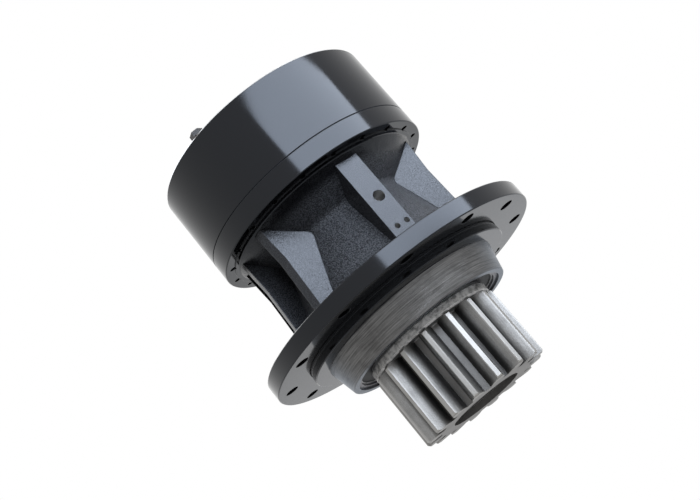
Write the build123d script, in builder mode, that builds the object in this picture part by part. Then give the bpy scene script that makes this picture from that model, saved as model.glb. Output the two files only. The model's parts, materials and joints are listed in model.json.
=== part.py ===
from build123d import *
import os
from math import acos, asin, cos, degrees, pi, radians, sin, sqrt, tan

os.makedirs("parts", exist_ok=True)

# Swing gearbox, millimetres. +Z runs up the output axis, from the pinion to the motor face.
# The origin is the centre of the mounting flange's seat. The rib with the port pad faces -Y.

# Running and seating clearances
running_clearance = 0.05
seat_clearance = 0.3
slip_clearance = 0.05
flank_clearance = 0.15

# Mounting flange and pilot
flange_radius = 200.0
flange_thickness = 22.5
flange_edge_distance = 20.0
edge_chamfer = 1.0
mount_hole_radius = 9.0
mount_hole_count = 12
mount_hole_start = -75.0
pilot_radius = 150.0
pilot_depth = 11.0
pilot_relief_depth = 3.0
pilot_relief = 1.5

# Bare nose below the pilot, which holds the lower bearing
nose_depth = 48.5
nose_wall = 8.2
nose_taper = 8.4

# Neck between the flange and the drum
neck_length = 141.5
neck_foot_wall = 14.5
waist_wall = 14.0
waist_length = 8.0
neck_head_height = 38.0
neck_head_setback = 20.0
neck_fillet = 10.0
neck_head_fillet = 3.0
web_thickness = 12.0
web_front_faces = (-66.0, 7.0, 54.0)
web_waist_proud = 38.0
web_draft = 3.5
web_parting_drop = 5.0
web_overlap = 2.0
rib_width = 32.0
rib_proud = 36.0

# Port pad on the rib, with the port measured down from the waist and its screws up from the flange
pad_offset = 2.5
port_drop = 22.0
port_radius = 7.25
port_depth = 20.0
port_passage_radius = 5.0
pad_screw_height = 29.5
pad_screw_spacing = 14.5
pad_screw_radius = 3.4
pad_screw_depth = 14.0

# Drum
band_height = 29.0
band_step = 1.5
band_step_width = 14.0
band_floor_thickness = 4.0
seam_chamfer = 0.7
drum_wall = 20.0
drum_top_chamfer = 2.0
drum_cover_thickness = 13.0
gear_ring_clearance = 2.8
gear_rest = 3.0

# Screws and dowels of the drum
drum_screw_inset = 9.0
drum_screw_count = 20
drum_screw_start = -78.0
drum_screw_radius = 5.0
drum_screw_core_radius = 4.2
drum_screw_tap_radius = 4.25
drum_screw_hole_radius = 5.5
drum_screw_end_cover = 4.5
drum_head_radius = 8.0
drum_head_height = 10.0
drum_head_socket = 8.0
drum_counterbore_radius = 8.75
drum_counterbore_depth = 10.5
ring_dowel_radius = 5.0
ring_dowel_length = 45.0
ring_dowel_count = 4
ring_dowel_start = -69.0
joint_dowel_radius = 4.0
joint_dowel_inset = 12.0
joint_dowel_depth = 14.0
joint_dowel_start = -51.0

# Motor face
motor_pad_edge_distance = 18.0
motor_pad_height = 6.0
motor_pilot_radius = 62.5
motor_pilot_depth = 10.0
motor_pilot_rest = 12.5
motor_circle_radius = 80.0
motor_tap_radius = 5.1
motor_tap_depth = 15.0
motor_tap_count = 4
motor_tap_start = 45.0

# Breather plug
plug_inset = 7.0
plug_angle = -141.0
plug_across_flats = 17.0
plug_head_height = 8.0
plug_shank_radius = 6.0
plug_shank_length = 9.0
plug_washer_width = 4.5
plug_washer_thickness = 1.5

# Lower bearing, 120 x 215 x 58
lower_seat_radius = 60.0
lower_race_wall = 13.1
lower_roller_radius = 10.6
lower_bearing_width = 58.0
lower_bearing_cover = 26.5
lower_roller_length = 23.0
lower_roller_count = 18
lower_lip_height = 5.9
lower_lip_width = 3.0
lower_cage_thickness = 5.5
lower_shoulder = 3.6
lower_shoulder_height = 8.0

# Upper bearing, 90 x 160 x 40
upper_race_wall = 10.0
upper_roller_radius = 7.45
upper_bearing_width = 40.0
upper_bearing_drop = 42.0
upper_roller_length = 29.0
upper_roller_count = 22
upper_lip_height = 4.0
upper_lip_width = 4.0
upper_cage_thickness = 4.0
upper_shoulder = 2.0
upper_shoulder_height = 4.0
cavity_wall = 6.0
upper_ring_thickness = 3.0
upper_ring_groove = 3.5
upper_ring_width = 8.2
split_gap = 12.0

# Seal end
seal_bore_step = 4.5
seal_carrier_recess = 6.0
seal_recess = 7.5
seal_rest = 5.0
seal_width = 18.0
seal_lip_gap = 10.0
sleeve_wall = 6.0
journal_step = 20.0
seal_wall = 2.5
carrier_ring_width = 6.0
carrier_ring_groove = 3.5
carrier_ring_thickness = 3.0
oring_section_radius = 2.0
oring_setback = 9.5

# Output shaft and pinion
pinion_module = 10.0
pinion_teeth = 16
pinion_shift = 0.2
pinion_width = 100.0
pinion_gap = 8.5
pinion_tooth_angle = -119.0
pinion_tip_chamfer = 2.5
pinion_foot_spread = 1.12
pinion_recess_radius = 50.0
pinion_recess_depth = 9.0
centre_drill_radius = 8.0
centre_drill_depth = 16.0
shoulder_step = 4.0
shoulder_recess = 2.5
shaft_relief = 4.0
spacer_wall = 6.0
shim_thickness = 2.5
shim_width = 13.0
hub_wall = 12.0
spline_teeth = 20
spline_module = 4.0
spline_seat_step = 3.0

# Gear train, both stages share one ring gear
pressure_angle = 20.0
gear_module = 4.0
ring_teeth = 63
ring_rim = 7.0
ring_shoulder = 1.0
planets_per_stage = 3
planet_letters = ("a", "b", "c")
stage_1_sun_teeth = 15
stage_1_planet_teeth = 24
stage_2_sun_teeth = 21
stage_2_planet_teeth = 21
stage_1_first_angle = -90.0
stage_2_first_angle = -30.0
washer_thickness = 1.3
washer_width = 16.0

# Second stage carrier
carrier_2_gap = 6.0
carrier_2_foot_gap = 4.5
carrier_2_plate = 9.5
pocket_clearance = 4.0
stage_2_planet_width = 39.4
stage_2_pin_radius = 16.0
stage_2_pin_cover = 1.5
stage_2_roller_radius = 4.0
stage_2_roller_count = 15
stage_2_roller_length = 34.0
spring_pin_radius = 2.5
spring_pin_drop = 4.5
spring_pin_length = 36.0
end_plate_thickness = 5.0
end_plate_edge = 6.0
end_screw_circle = 22.0
end_screw_count = 3
end_screw_radius = 4.0
end_screw_core_radius = 3.35
end_screw_length = 22.0
end_screw_head_radius = 7.5
end_screw_socket = 5.0

# First stage carrier
carrier_1_gap = 10.0
carrier_1_thickness = 10.5
stage_gap = 2.5
stage_1_planet_width = 17.0
stage_1_pin_radius = 14.0
stage_1_roller_radius = 4.0
stage_1_roller_count = 13
stage_1_roller_length = 14.0
pin_ring_thickness = 1.5
pin_ring_width = 4.0
pin_ring_groove = 1.5
sun_2_ring_thickness = 1.9
sun_2_ring_depth = 1.0
sun_2_ring_edge = 3.0
sun_2_ring_gap = 10.0
sun_2_bore_radius = 14.0
thrust_pad_width = 8.0
sun_1_hub_radius = 24.0
sun_1_hub_length = 13.2
sun_1_spline_teeth = 14
sun_1_spline_module = 2.0
sun_1_socket_depth = 26.0


def save(piece, label):
    piece.part.label = label
    export_step(piece.part, "parts/" + label + ".step")


def involute(angle):
    return tan(angle) - angle


def tooth_half_angle(teeth, module, radius, shift, offset):
    # half the angle that one tooth fills at a radius; offset moves each flank outwards
    pitch = teeth * module / 2
    base = pitch * cos(radians(pressure_angle))
    at_pitch = pi / (2 * teeth) + 2 * shift * tan(radians(pressure_angle)) / teeth
    rise = involute(acos(base / max(radius, base)))
    return at_pitch + involute(radians(pressure_angle)) - rise + offset / pitch


def polar_point(radius, angle):
    return (radius * cos(angle), radius * sin(angle))


def toothed_outline(teeth, module, inner, outer, offset, tooth_angle, centre=(0, 0)):
    # a toothed wheel's outline with flat flanks, as points about its centre
    pitch = teeth * module / 2
    points = []
    for tooth in range(teeth):
        middle = radians(tooth_angle) + 2 * pi * tooth / teeth
        for side, radii in ((-1, (inner, pitch, outer)), (1, (outer, pitch, inner))):
            for radius in radii:
                half = tooth_half_angle(teeth, module, radius, 0, offset)
                x, y = polar_point(radius, middle + side * half)
                points.append((centre[0] + x, centre[1] + y))
    return points


def planet_centre(distance, first_angle, index):
    return polar_point(distance, radians(first_angle + 360 * index / planets_per_stage))


def planet_tooth_angle(first_angle, index, teeth):
    # the ring gear has a tooth space on +X, and the planet's tooth lies in a space of it
    place = first_angle + 360 * index / planets_per_stage
    return place - place * ring_teeth / teeth


def sun_tooth_angle(first_angle, sun_teeth, planet_teeth):
    planet_tooth = planet_tooth_angle(first_angle, 0, planet_teeth)
    space = first_angle - (planet_tooth - first_angle - 180) * planet_teeth / sun_teeth
    return space + 180 / sun_teeth


def plain_ring(inner, outer, low, high):
    with BuildPart() as ring:
        with BuildSketch(Plane.XY.offset(low)):
            Circle(outer)
            Circle(inner, mode=Mode.SUBTRACT)
        extrude(amount=high - low)
    return ring


# Gear sizes
ring_pitch_radius = ring_teeth * gear_module / 2
ring_tip_radius = ring_pitch_radius - gear_module
ring_root_radius = ring_pitch_radius + 1.25 * gear_module
stage_1_distance = (stage_1_sun_teeth + stage_1_planet_teeth) * gear_module / 2
stage_2_distance = (stage_2_sun_teeth + stage_2_planet_teeth) * gear_module / 2
sun_2_tip_radius = (stage_2_sun_teeth + 2) * gear_module / 2
sun_2_root_radius = (stage_2_sun_teeth - 2.5) * gear_module / 2
planet_2_tip_radius = (stage_2_planet_teeth + 2) * gear_module / 2
spline_tip = (spline_teeth + 1) * spline_module / 2
spline_root = (spline_teeth - 1.25) * spline_module / 2
end_plate_radius = spline_tip + end_plate_edge

# Radii from the shaft and the gears outwards
upper_seat_radius = spline_tip + spline_seat_step
upper_inner_track = upper_seat_radius + upper_race_wall
upper_lip_radius = upper_inner_track + upper_lip_height
upper_outer_track = upper_inner_track + 2 * (upper_roller_radius + running_clearance)
upper_bore_radius = upper_outer_track + upper_race_wall
upper_shoulder_radius = upper_outer_track + upper_shoulder
cavity_radius = upper_bore_radius - cavity_wall
upper_ring_outer = upper_bore_radius + upper_ring_groove - seat_clearance
upper_ring_inner = upper_ring_outer - upper_ring_width
shim_radius = upper_seat_radius + shim_width
hub_radius = upper_seat_radius + hub_wall
lower_inner_track = lower_seat_radius + lower_race_wall
lower_lip_radius = lower_inner_track + lower_lip_height
lower_outer_track = lower_inner_track + 2 * (lower_roller_radius + running_clearance)
lower_bore_radius = lower_outer_track + lower_race_wall
lower_shoulder_radius = lower_outer_track + lower_shoulder
shaft_mid_radius = lower_seat_radius - shaft_relief
spacer_radius = shaft_mid_radius + spacer_wall
journal_radius = lower_seat_radius + journal_step
sleeve_radius = journal_radius + sleeve_wall
shoulder_radius = sleeve_radius + shoulder_step
seal_case_radius = sleeve_radius + seal_width
seal_lip_bore = sleeve_radius + seal_lip_gap
seal_bore_radius = lower_bore_radius + seal_bore_step
carrier_ring_inner = seal_bore_radius - carrier_ring_width
nose_bottom_radius = seal_bore_radius + nose_wall
nose_top_radius = nose_bottom_radius + nose_taper
neck_foot_radius = lower_bore_radius + neck_foot_wall
waist_radius = upper_bore_radius + waist_wall
web_waist_reach = waist_radius + web_waist_proud
web_end_reach = web_waist_reach + web_draft
rib_face = waist_radius + rib_proud
drum_bore_radius = ring_root_radius + ring_rim
drum_radius = drum_bore_radius + drum_wall
band_step_radius = drum_radius - band_step_width
neck_head_radius = drum_radius - neck_head_setback
band_bore_radius = ring_tip_radius
gear_shoulder_radius = ring_root_radius + ring_shoulder
carrier_radius = ring_tip_radius - carrier_2_gap
carrier_1_radius = ring_tip_radius - carrier_1_gap
drum_screw_circle = drum_bore_radius + drum_screw_inset
joint_dowel_circle = drum_bore_radius + joint_dowel_inset
plug_circle = drum_bore_radius + plug_inset
plug_washer_radius = plug_shank_radius + plug_washer_width
motor_pad_radius = motor_circle_radius + motor_pad_edge_distance
motor_throat_radius = motor_pilot_radius - motor_pilot_rest
mount_circle_radius = flange_radius - flange_edge_distance
pilot_relief_radius = pilot_radius - pilot_relief
thrust_pad_radius = sun_2_bore_radius + thrust_pad_width

# Heights, from the pinion up
nose_bottom = -nose_depth
pinion_high = nose_bottom - pinion_gap
pinion_low = pinion_high - pinion_width
shoulder_high = nose_bottom + shoulder_recess
seal_carrier_low = nose_bottom + seal_carrier_recess
seal_low = nose_bottom + seal_recess
oring_height = seal_carrier_low + oring_setback
lower_bearing_low = nose_bottom + lower_bearing_cover
seal_seat_height = lower_bearing_low - seal_rest
lower_bearing_high = lower_bearing_low + lower_bearing_width
neck_cavity_foot = lower_bearing_high + lower_shoulder_height
band_low = flange_thickness + neck_length
waist_high = band_low - neck_head_height
waist_low = waist_high - waist_length
port_level = waist_low - port_drop
web_parting_height = waist_low - web_parting_drop
upper_bearing_low = band_low - upper_bearing_drop
upper_bearing_high = upper_bearing_low + upper_bearing_width
upper_shoulder_low = upper_bearing_low - upper_shoulder_height
upper_ring_high = upper_bearing_high + upper_ring_thickness
band_parting_height = band_low - neck_head_fillet
band_floor = band_low + band_floor_thickness
seam_height = band_low + band_height
hub_low = upper_bearing_high + shim_thickness
spline_low = hub_low + edge_chamfer
carrier_2_low = band_floor + carrier_2_foot_gap
carrier_2_floor = seam_height
stage_2_pin_low = carrier_2_low + stage_2_pin_cover
end_plate_seat = carrier_2_floor - end_plate_thickness
shaft_end = end_plate_seat - seat_clearance
planet_2_low = carrier_2_floor + washer_thickness
planet_2_high = planet_2_low + stage_2_planet_width
carrier_2_ceiling = planet_2_high + washer_thickness
carrier_2_top = carrier_2_ceiling + carrier_2_plate
spring_pin_height = carrier_2_top - spring_pin_drop
carrier_1_low = carrier_2_top + stage_gap
carrier_1_high = carrier_1_low + carrier_1_thickness
sun_2_ring_low = carrier_1_low - sun_2_ring_thickness
planet_1_low = carrier_1_high + washer_thickness
planet_1_high = planet_1_low + stage_1_planet_width
pin_ring_low = planet_1_high + washer_thickness
pin_top = pin_ring_low + pin_ring_thickness + 2 * seat_clearance
ceiling_height = pin_top + gear_ring_clearance
gear_shoulder_height = ceiling_height - gear_rest
sun_1_top = planet_1_high + sun_1_hub_length
drum_top = ceiling_height + drum_cover_thickness
motor_face = drum_top + motor_pad_height
head_seat = drum_top - drum_counterbore_depth
drum_screw_end = band_low + drum_screw_end_cover

# Outside of the lower casing: nose, pilot, flange, waisted neck and the band of the drum
with BuildPart() as casing_body:
    with BuildSketch(Plane.XZ):
        with BuildLine():
            Polyline(
                (flange_radius - edge_chamfer, flange_thickness),
                (flange_radius, flange_thickness - edge_chamfer),
                (flange_radius, edge_chamfer),
                (flange_radius - edge_chamfer, 0),
                (pilot_relief_radius, 0),
                (pilot_relief_radius, -pilot_relief_depth),
                (pilot_radius, -pilot_relief_depth),
                (pilot_radius, edge_chamfer - pilot_depth),
                (pilot_radius - edge_chamfer, -pilot_depth),
                (nose_top_radius, -pilot_depth),
                (nose_bottom_radius, nose_bottom + edge_chamfer),
                (nose_bottom_radius - edge_chamfer, nose_bottom),
                (0, nose_bottom),
                (0, seam_height),
                (drum_radius - seam_chamfer, seam_height),
                (drum_radius, seam_height - seam_chamfer),
                (drum_radius, band_low + band_step + edge_chamfer),
                (drum_radius - edge_chamfer, band_low + band_step),
                (band_step_radius, band_low + band_step),
                (band_step_radius, band_low),
            )
            FilletPolyline(
                (band_step_radius, band_low),
                (neck_head_radius, band_low),
                (waist_radius, waist_high),
                (waist_radius, waist_low),
                (neck_foot_radius, flange_thickness),
                (flange_radius - edge_chamfer, flange_thickness),
                radius=[neck_head_fillet, neck_fillet, neck_fillet, neck_fillet],
            )
        make_face()
    revolve(axis=Axis.Z)

# Webs across the neck, drafted both ways from the parting height
with BuildPart() as neck_webs:
    with BuildSketch(Plane.XY.offset(flange_thickness - web_overlap)):
        for face in web_front_faces:
            with Locations((0, face + web_thickness / 2)):
                Rectangle(2 * web_end_reach, web_thickness)
    extrude(amount=band_low - flange_thickness + 2 * web_overlap)
    with BuildSketch(Plane.XZ):
        with BuildLine():
            Polyline(
                (0, flange_thickness - web_overlap),
                (web_end_reach, flange_thickness - web_overlap),
                (web_waist_reach, web_parting_height),
                (web_end_reach, band_low + web_overlap),
                (0, band_low + web_overlap),
                close=True,
            )
        make_face()
    revolve(axis=Axis.Z, mode=Mode.INTERSECT)
    add(casing_body.part, mode=Mode.SUBTRACT)
save(neck_webs, "neck_webs")

# Rib on the front of the neck, with the port, its passage and the two tapped holes beneath it
with BuildPart() as port_rib:
    with BuildSketch(Plane.XY.offset(flange_thickness - web_overlap)):
        with Locations((0, -rib_face / 2)):
            Rectangle(rib_width, rib_face)
    extrude(amount=band_low - flange_thickness + 2 * web_overlap)
    add(casing_body.part, mode=Mode.SUBTRACT)
    with BuildSketch(Plane.XZ.offset(rib_face)):
        with Locations((pad_offset, port_level)):
            Circle(port_passage_radius)
    extrude(amount=-rib_face, mode=Mode.SUBTRACT)
    with BuildSketch(Plane.XZ.offset(rib_face)):
        with Locations((pad_offset, port_level)):
            Circle(port_radius)
    extrude(amount=-port_depth, mode=Mode.SUBTRACT)
    with BuildSketch(Plane.XZ.offset(rib_face)):
        with Locations((pad_offset, flange_thickness + pad_screw_height)):
            with GridLocations(pad_screw_spacing, 0, 2, 1):
                Circle(pad_screw_radius)
    extrude(amount=-pad_screw_depth, mode=Mode.SUBTRACT)
save(port_rib, "port_rib")

# The casting with its bores and holes, kept as two nodes that part where the head of the neck
# meets the band of the drum
with BuildPart() as casing_casting:
    add(casing_body.part)
    # inside, from the seal end to the drum
    with BuildSketch(Plane.XZ):
        with BuildLine():
            Polyline(
                (0, nose_bottom),
                (seal_bore_radius, nose_bottom),
                (seal_bore_radius, seal_carrier_low - carrier_ring_thickness),
                (seal_bore_radius + carrier_ring_groove, seal_carrier_low - carrier_ring_thickness),
                (seal_bore_radius + carrier_ring_groove, seal_carrier_low),
                (seal_bore_radius, seal_carrier_low),
                (seal_bore_radius, lower_bearing_low),
                (lower_bore_radius, lower_bearing_low),
                (lower_bore_radius, lower_bearing_high),
                (lower_shoulder_radius, lower_bearing_high),
                (lower_shoulder_radius, neck_cavity_foot),
                (cavity_radius, upper_shoulder_low),
                (upper_shoulder_radius, upper_shoulder_low),
                (upper_shoulder_radius, upper_bearing_low),
                (upper_bore_radius, upper_bearing_low),
                (upper_bore_radius, upper_bearing_high),
                (upper_bore_radius + upper_ring_groove, upper_bearing_high),
                (upper_bore_radius + upper_ring_groove, upper_ring_high),
                (upper_bore_radius, upper_ring_high),
                (upper_bore_radius, band_floor),
                (band_bore_radius, band_floor),
                (band_bore_radius, seam_height),
                (0, seam_height),
                close=True,
            )
        make_face()
    revolve(axis=Axis.Z, mode=Mode.SUBTRACT)
    with BuildSketch(Plane.XY):
        with PolarLocations(mount_circle_radius, mount_hole_count, start_angle=mount_hole_start):
            Circle(mount_hole_radius)
    extrude(amount=flange_thickness, mode=Mode.SUBTRACT)
    with BuildSketch(Plane.XY.offset(seam_height)):
        with PolarLocations(drum_screw_circle, drum_screw_count, start_angle=drum_screw_start):
            Circle(drum_screw_tap_radius)
    extrude(amount=-(seam_height - band_low), mode=Mode.SUBTRACT)
    with BuildSketch(Plane.XY.offset(seam_height)):
        with PolarLocations(joint_dowel_circle, 2, start_angle=joint_dowel_start):
            Circle(joint_dowel_radius + slip_clearance)
    extrude(amount=-joint_dowel_depth, mode=Mode.SUBTRACT)
    # passage from the port to the bearing cavity
    with BuildSketch(Plane.XZ.offset(rib_face)):
        with Locations((pad_offset, port_level)):
            Circle(port_passage_radius)
    extrude(amount=-(rib_face - cavity_radius + 2 * web_overlap), mode=Mode.SUBTRACT)

with BuildPart() as lower_casing:
    add(casing_casting.part)
    split(bisect_by=Plane.XY.offset(band_parting_height), keep=Keep.BOTTOM)
save(lower_casing, "lower_casing")

with BuildPart() as drum_band:
    add(casing_casting.part)
    split(bisect_by=Plane.XY.offset(band_parting_height), keep=Keep.TOP)
save(drum_band, "drum_band")

with BuildPart() as upper_housing:
    with BuildSketch(Plane.XZ):
        with BuildLine():
            Polyline(
                (drum_bore_radius, seam_height),
                (drum_radius - seam_chamfer, seam_height),
                (drum_radius, seam_height + seam_chamfer),
                (drum_radius, drum_top - drum_top_chamfer),
                (drum_radius - drum_top_chamfer, drum_top),
                (motor_pad_radius, drum_top),
                (motor_pad_radius, motor_face - edge_chamfer),
                (motor_pad_radius - edge_chamfer, motor_face),
                (motor_pilot_radius, motor_face),
                (motor_pilot_radius, motor_face - motor_pilot_depth),
                (motor_throat_radius, motor_face - motor_pilot_depth),
                (motor_throat_radius, ceiling_height),
                (gear_shoulder_radius, ceiling_height),
                (gear_shoulder_radius, gear_shoulder_height),
                (drum_bore_radius, gear_shoulder_height),
                close=True,
            )
        make_face()
    revolve(axis=Axis.Z)
    with BuildSketch(Plane.XY.offset(seam_height)):
        with PolarLocations(drum_screw_circle, drum_screw_count, start_angle=drum_screw_start):
            Circle(drum_screw_hole_radius)
    extrude(amount=drum_top - seam_height, mode=Mode.SUBTRACT)
    with BuildSketch(Plane.XY.offset(drum_top)):
        with PolarLocations(drum_screw_circle, drum_screw_count, start_angle=drum_screw_start):
            Circle(drum_counterbore_radius)
    extrude(amount=-drum_counterbore_depth, mode=Mode.SUBTRACT)
    with BuildSketch(Plane.XY.offset(seam_height)):
        with PolarLocations(drum_bore_radius, ring_dowel_count, start_angle=ring_dowel_start):
            Circle(ring_dowel_radius + slip_clearance)
        with PolarLocations(joint_dowel_circle, 2, start_angle=joint_dowel_start):
            Circle(joint_dowel_radius + slip_clearance)
    extrude(amount=joint_dowel_depth, mode=Mode.SUBTRACT)
    with BuildSketch(Plane.XY.offset(seam_height)):
        with PolarLocations(drum_bore_radius, ring_dowel_count, start_angle=ring_dowel_start):
            Circle(ring_dowel_radius + slip_clearance)
    extrude(amount=ring_dowel_length, mode=Mode.SUBTRACT)
    with BuildSketch(Plane.XY.offset(motor_face)):
        with PolarLocations(motor_circle_radius, motor_tap_count, start_angle=motor_tap_start):
            Circle(motor_tap_radius)
    extrude(amount=-motor_tap_depth, mode=Mode.SUBTRACT)
    with BuildSketch(Plane.XY.offset(drum_top)):
        with PolarLocations(plug_circle, 1, start_angle=plug_angle):
            Circle(plug_shank_radius + slip_clearance)
    extrude(amount=-(plug_shank_length + seat_clearance), mode=Mode.SUBTRACT)
save(upper_housing, "upper_housing")

with BuildPart() as ring_gear:
    with BuildSketch(Plane.XY.offset(seam_height)):
        Circle(drum_bore_radius - slip_clearance)
        with BuildLine():
            bore_points = toothed_outline(
                ring_teeth, gear_module, ring_tip_radius, ring_root_radius, flank_clearance, 0
            )
            Polyline(*bore_points, close=True)
        make_face(mode=Mode.SUBTRACT)
        with PolarLocations(drum_bore_radius, ring_dowel_count, start_angle=ring_dowel_start):
            Circle(ring_dowel_radius + slip_clearance, mode=Mode.SUBTRACT)
    extrude(amount=gear_shoulder_height - seam_height)
save(ring_gear, "ring_gear")

with BuildPart() as ring_gear_dowels:
    with BuildSketch(Plane.XY.offset(seam_height)):
        with PolarLocations(drum_bore_radius, ring_dowel_count, start_angle=ring_dowel_start):
            Circle(ring_dowel_radius)
    extrude(amount=ring_dowel_length - seat_clearance)
save(ring_gear_dowels, "ring_gear_dowels")

with BuildPart() as joint_dowels:
    with BuildSketch(Plane.XY.offset(seam_height - joint_dowel_depth + seat_clearance)):
        with PolarLocations(joint_dowel_circle, 2, start_angle=joint_dowel_start):
            Circle(joint_dowel_radius)
    extrude(amount=2 * (joint_dowel_depth - seat_clearance))
save(joint_dowels, "joint_dowels")

with BuildPart() as drum_screws:
    with BuildSketch(Plane.XY.offset(head_seat)):
        with PolarLocations(drum_screw_circle, drum_screw_count, start_angle=drum_screw_start):
            Circle(drum_head_radius)
    extrude(amount=drum_head_height)
    with BuildSketch(Plane.XY.offset(head_seat + drum_head_height)):
        with PolarLocations(drum_screw_circle, drum_screw_count, start_angle=drum_screw_start):
            RegularPolygon(drum_head_socket / 2, 6, major_radius=False)
    extrude(amount=-drum_head_height / 2, mode=Mode.SUBTRACT)
    with BuildSketch(Plane.XY.offset(head_seat)):
        with PolarLocations(drum_screw_circle, drum_screw_count, start_angle=drum_screw_start):
            Circle(drum_screw_radius)
    extrude(amount=-(head_seat - seam_height - seat_clearance))
    with BuildSketch(Plane.XY.offset(drum_screw_end)):
        with PolarLocations(drum_screw_circle, drum_screw_count, start_angle=drum_screw_start):
            Circle(drum_screw_core_radius)
    extrude(amount=seam_height + seat_clearance - drum_screw_end)
save(drum_screws, "drum_screws")

with BuildPart() as breather_plug:
    with BuildSketch(Plane.XY.offset(drum_top + plug_washer_thickness)):
        with PolarLocations(plug_circle, 1, start_angle=plug_angle):
            RegularPolygon(plug_across_flats / 2, 6, major_radius=False)
    extrude(amount=plug_head_height)
    chamfer(breather_plug.faces().sort_by(Axis.Z)[-1].edges(), 1)
    with BuildSketch(Plane.XY.offset(drum_top - plug_shank_length)):
        with PolarLocations(plug_circle, 1, start_angle=plug_angle):
            Circle(plug_shank_radius)
    extrude(amount=plug_shank_length + plug_washer_thickness)
save(breather_plug, "breather_plug")

with BuildPart() as breather_washer:
    with BuildSketch(Plane.XY.offset(drum_top)):
        with PolarLocations(plug_circle, 1, start_angle=plug_angle):
            Circle(plug_washer_radius)
            Circle(plug_shank_radius + slip_clearance, mode=Mode.SUBTRACT)
    extrude(amount=plug_washer_thickness)
save(breather_washer, "breather_washer")


# Roller bearings
def inner_race(seat, track, lip, lip_width, low, high, middle_lip):
    with BuildPart() as race:
        with BuildSketch(Plane.XY.offset(low)):
            Circle(track)
            Circle(seat, mode=Mode.SUBTRACT)
        extrude(amount=high - low)
        lips = [(low, low + lip_width), (high - lip_width, high)]
        if middle_lip:
            lips.append(((low + high - lip_width) / 2, (low + high + lip_width) / 2))
        for lip_low, lip_high in lips:
            with BuildSketch(Plane.XY.offset(lip_low)):
                Circle(lip)
                Circle(seat, mode=Mode.SUBTRACT)
            extrude(amount=lip_high - lip_low)
    return race


def roller_set(circle, radius, length, count, middles):
    with BuildPart() as rollers:
        for middle in middles:
            with BuildSketch(Plane.XY.offset(middle - length / 2)):
                with PolarLocations(circle, count):
                    Circle(radius)
            extrude(amount=length)
    return rollers


def roller_cage(circle, thickness, radius, length, count, middles, low, high):
    with BuildPart() as cage:
        with BuildSketch(Plane.XY.offset(low)):
            Circle(circle + thickness / 2)
            Circle(circle - thickness / 2, mode=Mode.SUBTRACT)
        extrude(amount=high - low)
        for middle in middles:
            with BuildSketch(Plane.XY.offset(middle - length / 2 - seat_clearance)):
                with PolarLocations(circle, count):
                    Circle(radius + seat_clearance)
            extrude(amount=length + 2 * seat_clearance, mode=Mode.SUBTRACT)
    return cage


lower_roller_circle = (lower_outer_track + lower_inner_track) / 2
lower_middle = lower_bearing_low + lower_bearing_width / 2
lower_row_shift = (lower_bearing_width - lower_lip_width) / 4
lower_rows = (lower_middle - lower_row_shift, lower_middle + lower_row_shift)
save(plain_ring(lower_outer_track, lower_bore_radius, lower_bearing_low, lower_bearing_high),
     "lower_bearing_outer_race")
save(inner_race(lower_seat_radius, lower_inner_track, lower_lip_radius, lower_lip_width,
                lower_bearing_low, lower_bearing_high, True), "lower_bearing_inner_race")
save(roller_set(lower_roller_circle, lower_roller_radius, lower_roller_length,
                lower_roller_count, lower_rows), "lower_bearing_rollers")
save(roller_cage(lower_roller_circle, lower_cage_thickness, lower_roller_radius,
                 lower_roller_length, lower_roller_count, lower_rows,
                 lower_bearing_low + 1, lower_bearing_high - 1), "lower_bearing_cage")

upper_roller_circle = (upper_outer_track + upper_inner_track) / 2
upper_rows = (upper_bearing_low + upper_bearing_width / 2,)
save(plain_ring(upper_outer_track, upper_bore_radius, upper_bearing_low, upper_bearing_high),
     "upper_bearing_outer_race")
save(inner_race(upper_seat_radius, upper_inner_track, upper_lip_radius, upper_lip_width,
                upper_bearing_low, upper_bearing_high, False), "upper_bearing_inner_race")
save(roller_set(upper_roller_circle, upper_roller_radius, upper_roller_length,
                upper_roller_count, upper_rows), "upper_bearing_rollers")
save(roller_cage(upper_roller_circle, upper_cage_thickness, upper_roller_radius,
                 upper_roller_length, upper_roller_count, upper_rows,
                 upper_bearing_low + 1, upper_bearing_high - 1), "upper_bearing_cage")

# Split rings: one spring ring in the bore above the upper bearing, one below the seal carrier
def split_ring(inner, outer, low, high, gap):
    with BuildPart() as ring:
        with BuildSketch(Plane.XY.offset(low)):
            Circle(outer)
            Circle(inner, mode=Mode.SUBTRACT)
            with Locations((0, (inner + outer) / 2)):
                Rectangle(gap, 2 * (outer - inner), mode=Mode.SUBTRACT)
        extrude(amount=high - low)
    return ring


save(split_ring(upper_ring_inner, upper_ring_outer, upper_bearing_high,
                upper_ring_high - slip_clearance, split_gap),
     "upper_bearing_ring")
save(split_ring(carrier_ring_inner, seal_bore_radius + carrier_ring_groove - seat_clearance,
                seal_carrier_low - carrier_ring_thickness + slip_clearance, seal_carrier_low,
                split_gap),
     "seal_carrier_ring")

# Seal carrier with its groove for the ring seal, and the oil seal in it
oring_circle = seal_bore_radius - slip_clearance - oring_section_radius
with BuildPart() as seal_carrier:
    with BuildSketch(Plane.XZ):
        with BuildLine():
            Polyline(
                (seal_case_radius, seal_carrier_low),
                (seal_bore_radius - slip_clearance, seal_carrier_low),
                (seal_bore_radius - slip_clearance, lower_bearing_low),
                (seal_lip_bore, lower_bearing_low),
                (seal_lip_bore, seal_seat_height),
                (seal_case_radius, seal_seat_height),
                close=True,
            )
        make_face()
    revolve(axis=Axis.Z)
    with BuildSketch(Plane.XZ):
        with Locations((oring_circle, oring_height)):
            Rectangle(2 * oring_section_radius + 2 * slip_clearance,
                      2 * oring_section_radius + 2 * seat_clearance)
    revolve(axis=Axis.Z, mode=Mode.SUBTRACT)
save(seal_carrier, "seal_carrier")

with BuildPart() as seal_carrier_oring:
    with BuildSketch(Plane.XZ):
        with Locations((oring_circle, oring_height)):
            Circle(oring_section_radius - slip_clearance)
    revolve(axis=Axis.Z)
save(seal_carrier_oring, "seal_carrier_oring")

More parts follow.
